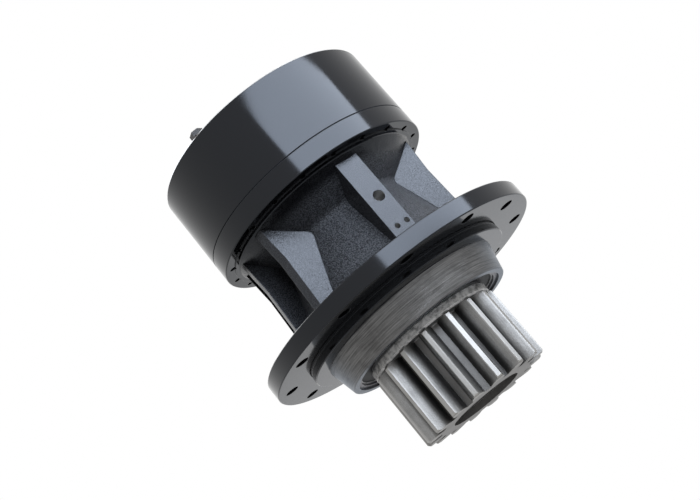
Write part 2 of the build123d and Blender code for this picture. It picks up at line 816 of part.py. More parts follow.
with BuildPart() as output_seal:
    with BuildSketch(Plane.XZ):
        with BuildLine():
            Polyline(
                (seal_case_radius - slip_clearance, seal_low),
                (seal_case_radius - slip_clearance, seal_seat_height),
                (seal_case_radius - seal_wall, seal_seat_height),
                (seal_case_radius - seal_wall, seal_low + seal_wall),
                (sleeve_radius + 2 * seal_wall, seal_low + seal_wall),
                (sleeve_radius + 2 * seal_wall, seal_seat_height - 2 * seal_wall),
                (sleeve_radius + running_clearance, seal_seat_height - 3 * seal_wall),
                (sleeve_radius + seal_wall, seal_low + 2 * seal_wall),
                (sleeve_radius + running_clearance, seal_low),
                close=True,
            )
        make_face()
    revolve(axis=Axis.Z)
save(output_seal, "output_seal")

# Output shaft: pinion, shoulder, bearing seats, thread and spline in one forging
pinion_pitch = pinion_teeth * pinion_module / 2
pinion_tip = pinion_pitch + (1 + pinion_shift) * pinion_module
pinion_root = pinion_pitch - (1.25 - pinion_shift) * pinion_module
pinion_base = pinion_pitch * cos(radians(pressure_angle))


def pinion_point(radius, side, middle):
    half = tooth_half_angle(pinion_teeth, pinion_module, radius, pinion_shift, 0)
    return polar_point(radius, middle + side * half)


with BuildPart() as output_shaft:
    with BuildSketch(Plane.XY.offset(pinion_low)):
        Circle(pinion_root)
        flank_radii = (pinion_base, (pinion_base + pinion_pitch) / 2, pinion_pitch,
                       (pinion_pitch + pinion_tip) / 2, pinion_tip)
        foot_half = pinion_foot_spread * tooth_half_angle(
            pinion_teeth, pinion_module, pinion_base, pinion_shift, 0
        )
        for tooth in range(pinion_teeth):
            middle = radians(pinion_tooth_angle) + 2 * pi * tooth / pinion_teeth
            low_foot = polar_point(pinion_root - 1, middle - foot_half)
            high_foot = polar_point(pinion_root - 1, middle + foot_half)
            with BuildLine():
                low_flank = Spline(*[pinion_point(radius, -1, middle) for radius in flank_radii])
                high_flank = Spline(*[pinion_point(radius, 1, middle) for radius in flank_radii])
                ThreePointArc(low_flank @ 1, polar_point(pinion_tip, middle), high_flank @ 1)
                Line(high_flank @ 0, high_foot)
                Line(high_foot, low_foot)
                Line(low_foot, low_flank @ 0)
            make_face()
    extrude(amount=pinion_high - pinion_low)
    # tip chamfers at both ends of the teeth
    for end, inward in ((pinion_low, 1), (pinion_high, -1)):
        with BuildSketch(Plane.XZ):
            with BuildLine():
                Polyline(
                    (pinion_tip - pinion_tip_chamfer, end),
                    (pinion_tip + 1, end),
                    (pinion_tip + 1, end + inward * (pinion_tip_chamfer + 1)),
                    close=True,
                )
            make_face()
        revolve(axis=Axis.Z, mode=Mode.SUBTRACT)
    with BuildSketch(Plane.XZ):
        with BuildLine():
            Polyline(
                (0, pinion_high),
                (shoulder_radius - 2 * edge_chamfer, pinion_high),
                (shoulder_radius, pinion_high + 2 * edge_chamfer),
                (shoulder_radius, shoulder_high),
                (journal_radius, shoulder_high),
                (journal_radius, lower_bearing_low),
                (lower_seat_radius, lower_bearing_low),
                (lower_seat_radius, lower_bearing_high - 3 * edge_chamfer),
                (shaft_mid_radius, lower_bearing_high - edge_chamfer),
                (shaft_mid_radius, upper_bearing_low - seat_clearance),
                (upper_seat_radius, upper_bearing_low - seat_clearance),
                (upper_seat_radius, hub_low - edge_chamfer),
                (spline_root, hub_low),
                (spline_root, shaft_end),
                (0, shaft_end),
                close=True,
            )
        make_face()
    revolve(axis=Axis.Z)
    with BuildSketch(Plane.XY.offset(spline_low)):
        with BuildLine():
            Polyline(*toothed_outline(spline_teeth, spline_module, spline_root, spline_tip, 0, 0),
                     close=True)
        make_face()
    extrude(amount=shaft_end - spline_low)
    with BuildSketch(Plane.XY.offset(pinion_low)):
        Circle(pinion_recess_radius)
    extrude(amount=pinion_recess_depth, mode=Mode.SUBTRACT)
    with BuildSketch(Plane.XY.offset(pinion_low + pinion_recess_depth)):
        Circle(centre_drill_radius)
    extrude(amount=centre_drill_depth, taper=20, mode=Mode.SUBTRACT)
    with BuildSketch(Plane.XY.offset(shaft_end)):
        with PolarLocations(end_screw_circle, end_screw_count):
            Circle(end_screw_core_radius + slip_clearance)
    extrude(amount=-(end_screw_length + seat_clearance), mode=Mode.SUBTRACT)
save(output_shaft, "output_shaft")

save(plain_ring(journal_radius, sleeve_radius, shoulder_high, lower_bearing_low), "seal_sleeve")
save(plain_ring(shaft_mid_radius + slip_clearance, spacer_radius, lower_bearing_high,
                upper_bearing_low), "bearing_spacer")
save(plain_ring(upper_seat_radius + slip_clearance, shim_radius, upper_bearing_high, hub_low),
     "bearing_shim")

# Second stage
with BuildPart() as carrier_2:
    with BuildSketch(Plane.XY.offset(carrier_2_low)):
        Circle(carrier_radius)
    extrude(amount=carrier_2_top - carrier_2_low)
    chamfer(carrier_2.faces().sort_by(Axis.Z)[-1].edges(), edge_chamfer)
    with BuildSketch(Plane.XY.offset(hub_low)):
        Circle(hub_radius)
    extrude(amount=carrier_2_low - hub_low)
    with BuildSketch(Plane.XY.offset(end_plate_seat)):
        Circle(end_plate_radius + seat_clearance)
    extrude(amount=carrier_2_floor - end_plate_seat, mode=Mode.SUBTRACT)
    with BuildSketch(Plane.XY.offset(carrier_2_floor)):
        Circle(sun_2_tip_radius + pocket_clearance)
    extrude(amount=carrier_2_top - carrier_2_floor, mode=Mode.SUBTRACT)
    with BuildSketch(Plane.XY.offset(carrier_2_floor)):
        with PolarLocations(stage_2_distance, planets_per_stage, start_angle=stage_2_first_angle):
            Circle(planet_2_tip_radius + pocket_clearance)
    extrude(amount=carrier_2_ceiling - carrier_2_floor, mode=Mode.SUBTRACT)
    with BuildSketch(Plane.XY.offset(stage_2_pin_low)):
        with PolarLocations(stage_2_distance, planets_per_stage, start_angle=stage_2_first_angle):
            Circle(stage_2_pin_radius)
    extrude(amount=carrier_2_top - stage_2_pin_low, mode=Mode.SUBTRACT)
    with BuildSketch(Plane.XY.offset(hub_low)):
        with BuildLine():
            Polyline(*toothed_outline(spline_teeth, spline_module, spline_root,
                                      spline_tip + slip_clearance, flank_clearance, 0),
                     close=True)
        make_face()
        Circle(spline_root + slip_clearance)
    extrude(amount=end_plate_seat - hub_low, mode=Mode.SUBTRACT)
    for index in range(planets_per_stage):
        turn = stage_2_first_angle + 360 * index / planets_per_stage
        outward = Vector(cos(radians(turn)), sin(radians(turn)), 0)
        start = outward * carrier_radius + Vector(0, 0, spring_pin_height)
        with BuildSketch(Plane(origin=start, z_dir=outward)):
            Circle(spring_pin_radius)
        extrude(amount=-(spring_pin_length + seat_clearance), mode=Mode.SUBTRACT)
save(carrier_2, "carrier_2")

with BuildPart() as stage_2_pins:
    with BuildSketch(Plane.XY.offset(stage_2_pin_low)):
        with PolarLocations(stage_2_distance, planets_per_stage, start_angle=stage_2_first_angle):
            Circle(stage_2_pin_radius)
    extrude(amount=carrier_2_top - edge_chamfer - stage_2_pin_low)
    for index in range(planets_per_stage):
        turn = stage_2_first_angle + 360 * index / planets_per_stage
        outward = Vector(cos(radians(turn)), sin(radians(turn)), 0)
        start = outward * carrier_radius + Vector(0, 0, spring_pin_height)
        with BuildSketch(Plane(origin=start, z_dir=outward)):
            Circle(spring_pin_radius)
        extrude(amount=-(spring_pin_length + seat_clearance), mode=Mode.SUBTRACT)
save(stage_2_pins, "stage_2_pins")

with BuildPart() as stage_2_spring_pins:
    for index in range(planets_per_stage):
        turn = stage_2_first_angle + 360 * index / planets_per_stage
        outward = Vector(cos(radians(turn)), sin(radians(turn)), 0)
        start = outward * (carrier_radius - edge_chamfer) + Vector(0, 0, spring_pin_height)
        with BuildSketch(Plane(origin=start, z_dir=outward)):
            Circle(spring_pin_radius - slip_clearance)
            Circle(spring_pin_radius / 2, mode=Mode.SUBTRACT)
        extrude(amount=-(spring_pin_length - edge_chamfer))
save(stage_2_spring_pins, "stage_2_spring_pins")

with BuildPart() as stage_2_washers:
    for low in (carrier_2_floor, carrier_2_ceiling - washer_thickness + seat_clearance):
        with BuildSketch(Plane.XY.offset(low)):
            with PolarLocations(stage_2_distance, planets_per_stage,
                                start_angle=stage_2_first_angle):
                Circle(stage_2_pin_radius + washer_width)
                Circle(stage_2_pin_radius + slip_clearance, mode=Mode.SUBTRACT)
        extrude(amount=washer_thickness - seat_clearance)
save(stage_2_washers, "stage_2_washers")


def planet_gear(distance, first_angle, index, teeth, bore, low, high):
    centre = planet_centre(distance, first_angle, index)
    pitch = teeth * gear_module / 2
    with BuildPart() as gear:
        with BuildSketch(Plane.XY.offset(low)):
            with BuildLine():
                Polyline(*toothed_outline(teeth, gear_module, pitch - 1.25 * gear_module,
                                          pitch + gear_module, -flank_clearance,
                                          planet_tooth_angle(first_angle, index, teeth), centre),
                         close=True)
            make_face()
            with Locations(centre):
                Circle(bore, mode=Mode.SUBTRACT)
        extrude(amount=high - low)
    return gear


def planet_rollers(distance, first_angle, index, pin, radius, count, low, length):
    centre = planet_centre(distance, first_angle, index)
    with BuildPart() as rollers:
        with BuildSketch(Plane.XY.offset(low)):
            with Locations(centre):
                with PolarLocations(pin + running_clearance + radius, count):
                    Circle(radius)
        extrude(amount=length)
    return rollers


stage_2_bore = stage_2_pin_radius + 2 * (stage_2_roller_radius + running_clearance)
stage_2_roller_low = (planet_2_low + planet_2_high - stage_2_roller_length) / 2
for index, letter in enumerate(planet_letters):
    save(planet_gear(stage_2_distance, stage_2_first_angle, index, stage_2_planet_teeth,
                     stage_2_bore, planet_2_low, planet_2_high), "stage_2_planet_" + letter)
    save(planet_rollers(stage_2_distance, stage_2_first_angle, index, stage_2_pin_radius,
                        stage_2_roller_radius, stage_2_roller_count, stage_2_roller_low,
                        stage_2_roller_length), "stage_2_rollers_" + letter)

# Plate and screws that hold the carrier on the shaft's spline
with BuildPart() as carrier_end_plate:
    with BuildSketch(Plane.XY.offset(end_plate_seat)):
        Circle(end_plate_radius)
    extrude(amount=end_plate_thickness)
    with Locations(Plane.XY.offset(carrier_2_floor)):
        with PolarLocations(end_screw_circle, end_screw_count):
            CounterSinkHole(end_screw_radius + slip_clearance, end_screw_head_radius,
                            depth=end_plate_thickness, counter_sink_angle=90)
save(carrier_end_plate, "carrier_end_plate")

with BuildPart() as end_plate_screws:
    with BuildSketch(Plane.XZ):
        with BuildLine():
            head_top = carrier_2_floor - seat_clearance
            head_radius = end_screw_head_radius - 2 * seat_clearance
            neck_radius = end_screw_radius - seat_clearance
            neck_height = head_top - (head_radius - neck_radius)
            Polyline(
                (end_screw_circle, head_top),
                (end_screw_circle + head_radius, head_top),
                (end_screw_circle + neck_radius, neck_height),
                (end_screw_circle + neck_radius, shaft_end),
                (end_screw_circle + end_screw_core_radius, shaft_end),
                (end_screw_circle + end_screw_core_radius, shaft_end - end_screw_length),
                (end_screw_circle, shaft_end - end_screw_length),
                close=True,
            )
        make_face()
    revolve(axis=Axis((end_screw_circle, 0, 0), (0, 0, 1)))
    with BuildSketch(Plane.XY.offset(head_top)):
        with Locations((end_screw_circle, 0)):
            RegularPolygon(end_screw_socket / 2, 6, major_radius=False)
    extrude(amount=-end_plate_thickness / 2, mode=Mode.SUBTRACT)
    first_screw = end_plate_screws.part
    for index in range(1, end_screw_count):
        add(first_screw.rotate(Axis.Z, 360 * index / end_screw_count))
save(end_plate_screws, "end_plate_screws")

# First stage
sun_2_angle = sun_tooth_angle(stage_2_first_angle, stage_2_sun_teeth, stage_2_planet_teeth)
sun_1_angle = sun_tooth_angle(stage_1_first_angle, stage_1_sun_teeth, stage_1_planet_teeth)

with BuildPart() as carrier_1:
    with BuildSketch(Plane.XY.offset(carrier_1_low)):
        Circle(carrier_1_radius)
        with BuildLine():
            Polyline(*toothed_outline(stage_2_sun_teeth, gear_module,
                                      sun_2_root_radius + slip_clearance,
                                      sun_2_tip_radius + slip_clearance, 0, sun_2_angle),
                     close=True)
        make_face(mode=Mode.SUBTRACT)
        with PolarLocations(stage_1_distance, planets_per_stage, start_angle=stage_1_first_angle):
            Circle(stage_1_pin_radius, mode=Mode.SUBTRACT)
    extrude(amount=carrier_1_high - carrier_1_low)
save(carrier_1, "carrier_1")

with BuildPart() as stage_1_pins:
    with BuildSketch(Plane.XY.offset(carrier_1_low)):
        with PolarLocations(stage_1_distance, planets_per_stage, start_angle=stage_1_first_angle):
            Circle(stage_1_pin_radius)
    extrude(amount=pin_top - carrier_1_low)
    with BuildSketch(Plane.XY.offset(pin_ring_low)):
        with PolarLocations(stage_1_distance, planets_per_stage, start_angle=stage_1_first_angle):
            Circle(stage_1_pin_radius)
            Circle(stage_1_pin_radius - pin_ring_groove, mode=Mode.SUBTRACT)
    extrude(amount=pin_ring_thickness + slip_clearance, mode=Mode.SUBTRACT)
save(stage_1_pins, "stage_1_pins")

with BuildPart() as stage_1_pin_rings:
    with BuildSketch(Plane.XY.offset(pin_ring_low)):
        with PolarLocations(stage_1_distance, planets_per_stage, start_angle=stage_1_first_angle):
            Circle(stage_1_pin_radius + pin_ring_width)
            Circle(stage_1_pin_radius - pin_ring_groove + slip_clearance, mode=Mode.SUBTRACT)
            with Locations((stage_1_pin_radius, 0)):
                Rectangle(3 * pin_ring_width, pin_ring_width, mode=Mode.SUBTRACT)
    extrude(amount=pin_ring_thickness)
save(stage_1_pin_rings, "stage_1_pin_rings")

with BuildPart() as stage_1_washers:
    for low in (carrier_1_high, planet_1_high + seat_clearance):
        with BuildSketch(Plane.XY.offset(low)):
            with PolarLocations(stage_1_distance, planets_per_stage,
                                start_angle=stage_1_first_angle):
                Circle(stage_1_pin_radius + washer_width)
                Circle(stage_1_pin_radius + slip_clearance, mode=Mode.SUBTRACT)
        extrude(amount=washer_thickness - seat_clearance)
save(stage_1_washers, "stage_1_washers")

stage_1_bore = stage_1_pin_radius + 2 * (stage_1_roller_radius + running_clearance)
stage_1_roller_low = planet_1_low + (stage_1_planet_width - stage_1_roller_length) / 2
for index, letter in enumerate(planet_letters):
    save(planet_gear(stage_1_distance, stage_1_first_angle, index, stage_1_planet_teeth,
                     stage_1_bore, planet_1_low, planet_1_high), "stage_1_planet_" + letter)
    save(planet_rollers(stage_1_distance, stage_1_first_angle, index, stage_1_pin_radius,
                        stage_1_roller_radius, stage_1_roller_count, stage_1_roller_low,
                        stage_1_roller_length), "stage_1_rollers_" + letter)

with BuildPart() as sun_2:
    sun_2_low = carrier_2_floor + seat_clearance
    with BuildSketch(Plane.XY.offset(sun_2_low)):
        with BuildLine():
            Polyline(*toothed_outline(stage_2_sun_teeth, gear_module, sun_2_root_radius,
                                      sun_2_tip_radius, -flank_clearance, sun_2_angle),
                     close=True)
        make_face()
        Circle(sun_2_bore_radius, mode=Mode.SUBTRACT)
    extrude(amount=carrier_1_high - sun_2_low)
    with BuildSketch(Plane.XY.offset(sun_2_ring_low)):
        Circle(sun_2_tip_radius + edge_chamfer)
        Circle(sun_2_root_radius - sun_2_ring_depth, mode=Mode.SUBTRACT)
    extrude(amount=carrier_1_low - sun_2_ring_low, mode=Mode.SUBTRACT)
save(sun_2, "sun_2")
save(split_ring(sun_2_root_radius - sun_2_ring_depth + slip_clearance,
                sun_2_tip_radius + sun_2_ring_edge, sun_2_ring_low + slip_clearance,
                carrier_1_low, sun_2_ring_gap), "sun_2_ring")

with BuildPart() as input_thrust_pad:
    with BuildSketch(Plane.XY.offset(carrier_1_high)):
        Circle(thrust_pad_radius)
    extrude(amount=washer_thickness - seat_clearance)
    with BuildSketch(Plane.XY.offset(carrier_1_high)):
        Circle(sun_2_bore_radius - slip_clearance)
    extrude(amount=-(carrier_1_high - carrier_1_low))
save(input_thrust_pad, "input_thrust_pad")

with BuildPart() as sun_1:
    sun_1_pitch = stage_1_sun_teeth * gear_module / 2
    with BuildSketch(Plane.XY.offset(planet_1_low)):
        with BuildLine():
            Polyline(*toothed_outline(stage_1_sun_teeth, gear_module,
                                      sun_1_pitch - 1.25 * gear_module,
                                      sun_1_pitch + gear_module, -flank_clearance, sun_1_angle),
                     close=True)
        make_face()
    extrude(amount=planet_1_high - planet_1_low)
    with BuildSketch(Plane.XY.offset(planet_1_high)):
        Circle(sun_1_hub_radius)
    extrude(amount=sun_1_top - planet_1_high)
    chamfer(sun_1.faces().sort_by(Axis.Z)[-1].edges(), edge_chamfer)
    socket_pitch = sun_1_spline_teeth * sun_1_spline_module / 2
    with BuildSketch(Plane.XY.offset(sun_1_top)):
        with BuildLine():
            Polyline(*toothed_outline(sun_1_spline_teeth, sun_1_spline_module,
                                      socket_pitch - sun_1_spline_module / 2,
                                      socket_pitch + sun_1_spline_module / 2, 0, 0),
                     close=True)
        make_face()
    extrude(amount=-sun_1_socket_depth, mode=Mode.SUBTRACT)
save(sun_1, "sun_1")
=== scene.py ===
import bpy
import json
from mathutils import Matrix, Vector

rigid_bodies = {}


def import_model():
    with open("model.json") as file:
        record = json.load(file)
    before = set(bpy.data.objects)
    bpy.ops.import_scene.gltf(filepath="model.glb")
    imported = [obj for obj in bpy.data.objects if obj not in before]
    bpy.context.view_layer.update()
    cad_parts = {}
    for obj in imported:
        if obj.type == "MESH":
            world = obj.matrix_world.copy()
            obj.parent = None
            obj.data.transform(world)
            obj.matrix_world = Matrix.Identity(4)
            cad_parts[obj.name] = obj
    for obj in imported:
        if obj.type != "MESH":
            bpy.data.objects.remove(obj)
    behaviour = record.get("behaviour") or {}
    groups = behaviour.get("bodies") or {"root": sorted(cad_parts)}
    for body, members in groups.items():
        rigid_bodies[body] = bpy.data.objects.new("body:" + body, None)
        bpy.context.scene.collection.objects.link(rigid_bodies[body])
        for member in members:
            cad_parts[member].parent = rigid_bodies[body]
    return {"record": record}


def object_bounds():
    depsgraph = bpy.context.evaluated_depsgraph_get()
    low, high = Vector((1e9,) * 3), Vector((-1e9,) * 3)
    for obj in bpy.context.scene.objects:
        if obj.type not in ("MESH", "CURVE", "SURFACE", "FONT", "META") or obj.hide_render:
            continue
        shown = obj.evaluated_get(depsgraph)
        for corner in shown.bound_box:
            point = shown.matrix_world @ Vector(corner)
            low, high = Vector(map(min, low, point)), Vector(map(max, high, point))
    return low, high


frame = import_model()
cad_box = [list(corner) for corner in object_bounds()]

import json
import math

import bpy
from mathutils import Vector

scene = bpy.context.scene
record = frame["record"]
mounts = {mount["name"]: mount for mount in record["mounts"]}
MM = 0.001

# Places on the part in metres, where one finish meets the next
ground_level = cad_box[0][2]
nose_top = -0.0115
nose_reach = 0.13525
neck_foot = 0.024
neck_head = 0.163
neck_reach = 0.1475
core_reach = 0.120
band_parting = 0.161
band_parting_reach = 0.1005
seam_foot = 0.1922
seam_head = 0.1938
seam_depth = 0.151
rim_foot = 0.2932
rim_head = 0.294975
rim_reach = 0.15575
drum_wall = 0.1379
drum_ceiling = 0.282
shoulder_foot = -0.0565
tooth_root = 0.07875
tooth_tip = 0.0906

# The holes of the port rib, a little wider than drilled so that their edges are covered
rib_middle, rib_face = mounts["port"]["pos_m"][0], mounts["pad_screws"]["pos_m"][1]
port_level, pad_level = mounts["port"]["pos_m"][2], mounts["pad_screws"]["pos_m"][2]
port_bore = (mounts["port"]["dims"]["r_mm"] + 0.15) * MM
pad_bore = (mounts["pad_screws"]["dims"]["hole_r_mm"] + 0.1) * MM
pad_offset = mounts["pad_screws"]["dims"]["spacing_x_mm"] / 2 * MM
thread_waves = 4190.0  # radians in a metre, a turn each 1.5 mm

# Paint; its lighter greys are dust with painted glints, and edge wear with painted highlight
BLACK = (0.006, 0.006, 0.007)
DUST_AND_GLINT_BLACK = (0.024, 0.024, 0.026)
CORE_DUST_AND_GLINTS = (0.085, 0.088, 0.096)
EDGE_WEAR_AND_HIGHLIGHT = (0.06, 0.06, 0.062)
LACQUER = {"IOR": 1.35, "Specular_Tint": (0.88, 0.93, 1.0)}
seam_roughness = 0.9

# Light
WHITE = (1.0, 1.0, 1.0)
NEAR_WHITE = (0.97, 0.98, 1.0)
COOL_WHITE = (0.79, 0.87, 1.0)
world_light = 0.14
lit_centre = Vector((0.0, 0.0, 0.08))
floor_gap = 0.0006
floor_size = 6.0


class Sock:
    """A shader socket, or a plain number, that can be written in expressions."""

    def __init__(self, nodes, value):
        self.nodes = nodes
        self.value = value

    def calc(self, operation, *others):
        return self.nodes.node("ShaderNodeMath", {"operation": operation},
                               dict(enumerate((self, *others))))

    def __add__(self, other):
        return self.calc("ADD", other)

    def __radd__(self, other):
        return self.calc("ADD", other)

    def __sub__(self, other):
        return self.calc("SUBTRACT", other)

    def __rsub__(self, other):
        return Sock(self.nodes, other).calc("SUBTRACT", self)

    def __mul__(self, other):
        return self.calc("MULTIPLY", other)

    def __rmul__(self, other):
        return self.calc("MULTIPLY", other)

    def root(self):
        return self.calc("SQRT")

    def high(self, other):
        """The larger of the two."""
        return self.calc("MAXIMUM", other)

    def step(self, start, end):
        """0 up to start and 1 from end, smooth between."""
        return self.nodes.node("ShaderNodeMapRange", {"interpolation_type": "SMOOTHSTEP"},
                               {"Value": self, "From Min": start, "From Max": end})

    def past(self, level, soft):
        """0 before level and 1 after it, smooth over soft on either side."""
        return self.step(level - soft, level + soft)

    def band(self, start, end, soft):
        """1 between start and end."""
        return self.past(start, soft) * (1 - self.past(end, soft))


class Nodes:
    """One node tree, filled by expressions."""

    def __init__(self, tree):
        self.tree = tree

    def put(self, socket, item):
        """Sets a socket to a value, or links another socket to it."""
        if isinstance(item, Sock):
            item = item.value
        if isinstance(item, bpy.types.NodeSocket):
            self.tree.links.new(item, socket)
        elif socket.type == "RGBA":
            socket.default_value = (*item, 1.0)
        else:
            socket.default_value = item

    def node(self, kind, settings=None, inputs=None, output=0):
        node = self.tree.nodes.new(kind)
        for key, value in (settings or {}).items():
            setattr(node, key, value)
        for key, value in (inputs or {}).items():
            self.put(node.inputs[key], value)
        return Sock(self, node.outputs[output])

    def background_rays(self, mirrored=1.0):
        """1 on rays that meet the background: the eye's, mirrored ones and those through glass."""
        kinds = ("Is Camera Ray", "Is Glossy Ray", "Is Transmission Ray")
        eye, mirror, through = (self.node("ShaderNodeLightPath", output=kind) for kind in kinds)
        return eye.high(mirror * mirrored).high(through)


class Finish(Nodes):
    """One procedural material, built from expressions on the object's own coordinates."""

    def __init__(self, name):
        self.material = bpy.data.materials.new(name)
        self.material.use_nodes = True
        super().__init__(self.material.node_tree)
        self.shader = self.tree.nodes["Principled BSDF"]
        self.place = self.node("ShaderNodeTexCoord", output="Object")
        self.x, self.y, self.z = (self.node("ShaderNodeSeparateXYZ", None, {0: self.place}, axis)
                                  for axis in "XYZ")
        self.radius = (self.x * self.x + self.y * self.y).root()
        self.bumps = None

    def noise(self, scale, detail=3.0, roughness=0.55, place=None):
        return self.node("ShaderNodeTexNoise", None,
                         {"Vector": place or self.place, "Scale": scale, "Detail": detail,
                          "Roughness": roughness}, "Fac")

    def cells(self, scale):
        return self.node("ShaderNodeTexVoronoi", None, {"Vector": self.place, "Scale": scale},
                         "Distance")

    def at(self, x, y, z):
        return self.node("ShaderNodeCombineXYZ", None, {0: x, 1: y, 2: z})

    def turned(self, stretch=0.008):
        """Places that change along the radius and the height, and little round the axis."""
        angle = self.y.calc("ARCTAN2", self.x)
        return self.at(self.radius, self.z, angle * stretch)

    def blend(self, share, low, high):
        """From the colour low, where share is 0, to the colour high, where it is 1."""
        return self.node("ShaderNodeMix", {"data_type": "RGBA"},
                         {"Factor": share, 6: low, 7: high}, 2)

    def bump(self, height, strength, distance):
        inputs = {"Strength": strength, "Distance": distance, "Height": height}
        if self.bumps is not None:
            inputs["Normal"] = self.bumps
        self.bumps = self.node("ShaderNodeBump", None, inputs)

    def round_edges(self, radius, whole=None):
        """Softens the sharp edges in the shading, and gives back where they are.

        whole is 1 where two pieces of one casting meet, which is no edge."""
        self.bumps = self.node("ShaderNodeBevel", {"samples": 6}, {"Radius": radius})
        flat = self.node("ShaderNodeNewGeometry", output="Normal")
        if whole is not None:
            self.bumps = self.node("ShaderNodeMix", {"data_type": "VECTOR"},
                                   {"Factor": whole, 4: self.bumps, 5: flat}, 1)
        facing = self.node("ShaderNodeVectorMath", {"operation": "DOT_PRODUCT"},
                           {0: self.bumps, 1: flat}, "Value")
        return (1 - facing).step(0.01, 0.12)

    def finish(self, color, roughness, metallic=0.0, **constants):
        self.put(self.shader.inputs["Base Color"], color)
        self.put(self.shader.inputs["Roughness"], roughness)
        self.put(self.shader.inputs["Metallic"], metallic)
        for key, value in constants.items():
            self.put(self.shader.inputs[key.replace("_", " ")], value)
        if self.bumps is not None:
            self.put(self.shader.inputs["Normal"], self.bumps)
        return self.material


def times(factor, color):
    return tuple(factor * part for part in color)


def black_cast_paint():
    """Lower casing and band: smooth on the flange, pebbled on the core of the neck, with dust and
    painted glints lighter on the grain, and bare turned steel on the nose."""
    f = Finish("gloss_black_cast")
    parting = f.z.band(band_parting - 0.0012, band_parting + 0.0012, 0.0002)
    edge = f.round_edges(0.0009, whole=parting * f.radius.past(band_parting_reach, 0.0005))
    cast = (1 - f.radius.past(neck_reach, 0.0025)) * f.z.band(neck_foot, neck_head, 0.001)
    core = cast * (1 - f.radius.past(core_reach, 0.008))
    nose = (1 - f.z.past(nose_top, 0.0003)) * (1 - f.radius.past(nose_reach, 0.00075))
    seam = f.z.past(seam_foot, 0.0002) * f.radius.past(seam_depth, 0.001)

    swell = f.noise(60.0, 3.0, 0.5)
    grain = f.noise(620.0, 4.0, 0.65)
    pebbles = f.cells(560.0)
    grooves = f.noise(1500.0, 2.0, 0.6, place=f.turned(0.0025))
    lathe = f.noise(700.0, 4.0, 0.7, place=f.turned(0.0035))
    smudge = f.noise(26.0, 4.0, 0.6)
    f.bump(swell * cast, 0.25, 0.003)
    f.bump(grain * (cast * 0.2 + core * 0.9), 0.8, 0.0012)
    f.bump(pebbles * core, 0.6, 0.0009)
    f.bump(grooves * nose, 0.6, 0.0004)
    f.bump(lathe * nose, 0.2, 0.0004)

    # Lighter grain peaks: dust, and painted glints for the light caught by the pebbles
    dust_and_glints = grain.step(0.42, 0.62)
    paint = f.blend(dust_and_glints * 0.35 * cast, BLACK, DUST_AND_GLINT_BLACK)
    paint = f.blend(core * dust_and_glints, paint, CORE_DUST_AND_GLINTS)
    # Lighter edges: wear and painted highlight
    paint = f.blend(edge * 0.35, paint, EDGE_WEAR_AND_HIGHLIGHT)
    steel = f.blend(lathe.step(0.25, 0.75), (0.052, 0.051, 0.049), (0.165, 0.161, 0.156))
    steel = f.blend(smudge.step(0.45, 0.72) * 0.4, steel, (0.040, 0.038, 0.037))
    # Lighter edges of the nose: wear and painted highlight
    steel = f.blend(edge * 0.5, steel, (0.34, 0.33, 0.32))

    painted = 0.10 + cast * (0.06 + grain * 0.08) + core * 0.12 + f.noise(40.0) * 0.03
    rough = painted * (1 - nose) + nose * (0.27 + lathe * 0.08)
    return f.finish(f.blend(nose, paint, steel), rough.high(seam * seam_roughness), nose, **LACQUER)


def black_web_paint():
    """Webs and rib of the same casting, with a finer and more even skin than the core, and bare
    threads in the holes of the rib."""
    f = Finish("gloss_black_webs")
    edge = f.round_edges(0.0012)
    skin = f.noise(420.0, 3.0, 0.6)
    speckle = f.noise(1100.0, 2.0, 0.5)
    f.bump(f.noise(90.0, 2.0), 0.10, 0.002)
    f.bump(skin + speckle * 0.5, 0.35, 0.0006)
    # Lighter speckles: dust and painted glints
    paint = f.blend(speckle.step(0.40, 0.60), (0.012, 0.012, 0.013), (0.060, 0.062, 0.068))
    # Lighter edges: wear and painted highlight
    paint = f.blend(edge * 0.35, paint, EDGE_WEAR_AND_HIGHLIGHT)

    holes = ((rib_middle, port_level, port_bore),
             (rib_middle + pad_offset, pad_level, pad_bore),
             (rib_middle - pad_offset, pad_level, pad_bore))
    bare = Sock(f, 0.0)
    for middle, level, bore in holes:
        across = f.x - middle
        up = f.z - level
        reach = (across * across + up * up).root()
        bare = bare.high(1 - reach.step(bore, bore + 0.0001))
    bare = bare * f.y.step(rib_face + 0.0003, rib_face + 0.0006)
    f.bump((f.y * thread_waves).calc("SINE") * bare, 0.6, 0.0004)
    rough = (0.14 + skin * 0.08) * (1 - bare) + bare * 0.3
    return f.finish(f.blend(bare, paint, (0.30, 0.295, 0.285)), rough, bare, **LACQUER)


def black_drum_paint():
    """Upper housing: smooth paint, with bare steel on the rim of the lid and inside the drum."""
    f = Finish("gloss_black_drum")
    edge = f.round_edges(0.0006)
    f.bump(f.noise(900.0, 2.0), 0.04, 0.0003)
    rim = f.z.past(rim_foot, 0.0002) * f.radius.past(rim_reach, 0.00025)
    rim = rim * (1 - f.z.past(rim_head, 0.000075))
    inside = (1 - f.radius.past(drum_wall, 0.0003)) * (1 - f.z.past(drum_ceiling, 0.0005))
    bare = rim.high(inside)
    steel = f.blend(f.noise(500.0, 3.0, place=f.turned()), (0.38, 0.37, 0.36), (0.62, 0.61, 0.59))
    specks = f.noise(1400.0, 1.0).step(0.72, 0.78)
    # Lighter specks are dust; lighter edges are wear and painted highlight
    paint = f.blend((specks * 0.3).high(edge * 0.3), BLACK, (0.045, 0.045, 0.047))
    seam = 1 - f.z.past(seam_head, 0.0002)
    painted = (0.08 + f.noise(30.0, 3.0) * 0.04).high(seam * seam_roughness)
    return f.finish(f.blend(bare, paint, steel), painted * (1 - bare) + bare * 0.3, bare, **LACQUER)


